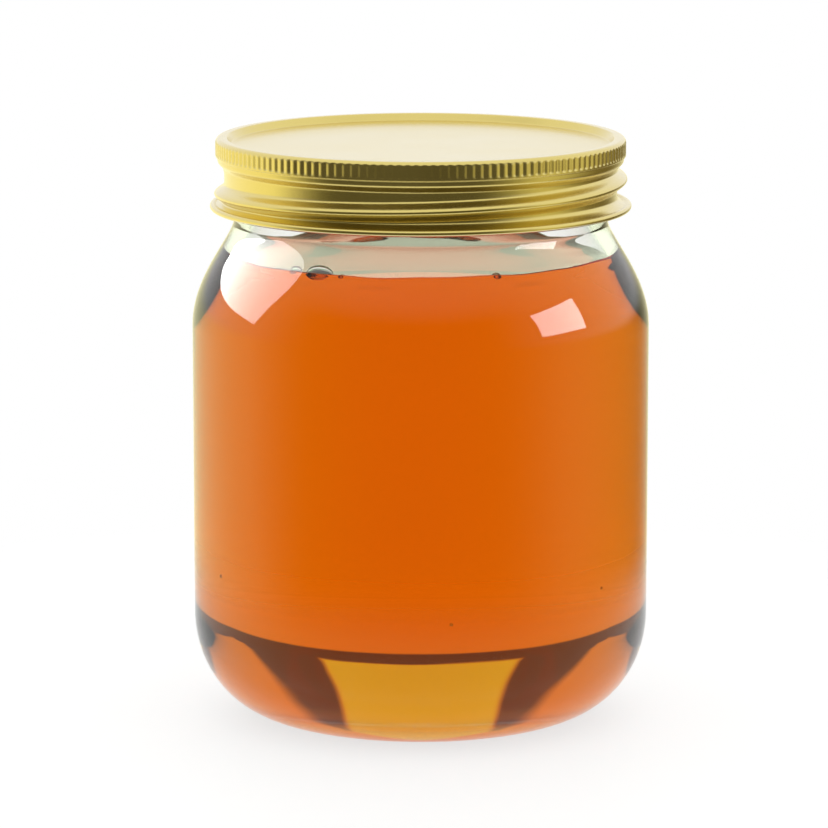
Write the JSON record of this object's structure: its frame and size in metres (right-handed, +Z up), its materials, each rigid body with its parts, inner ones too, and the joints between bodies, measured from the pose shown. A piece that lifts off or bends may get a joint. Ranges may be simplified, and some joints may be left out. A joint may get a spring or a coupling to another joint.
{
  "type": "honey jar",
  "caption": "Squat round glass jar filled with clear orange honey, with rounded shoulder and heel, under a gold screw cap with a ribbed grip, a rolled thread and a curled edge.",
  "frame": {"origin": "centre of the foot, on the surface that the jar stands on", "axes": "+Z up along the jar's axis; -Y towards the side where the rolled thread of the cap crosses its middle height"},
  "size_m": [0.079, 0.079, 0.1008],
  "materials": {
    "glass": "clear flint glass, polished by the mould, with a faint green tint at the thick edges",
    "honey": "clear deep orange liquid honey",
    "gold_lacquer": "satin gold lacquer over tinplate"
  },
  "bodies": {
    "root": {"jar": "glass", "honey": "honey", "cap": "gold_lacquer"}
  },
  "joints": []
}
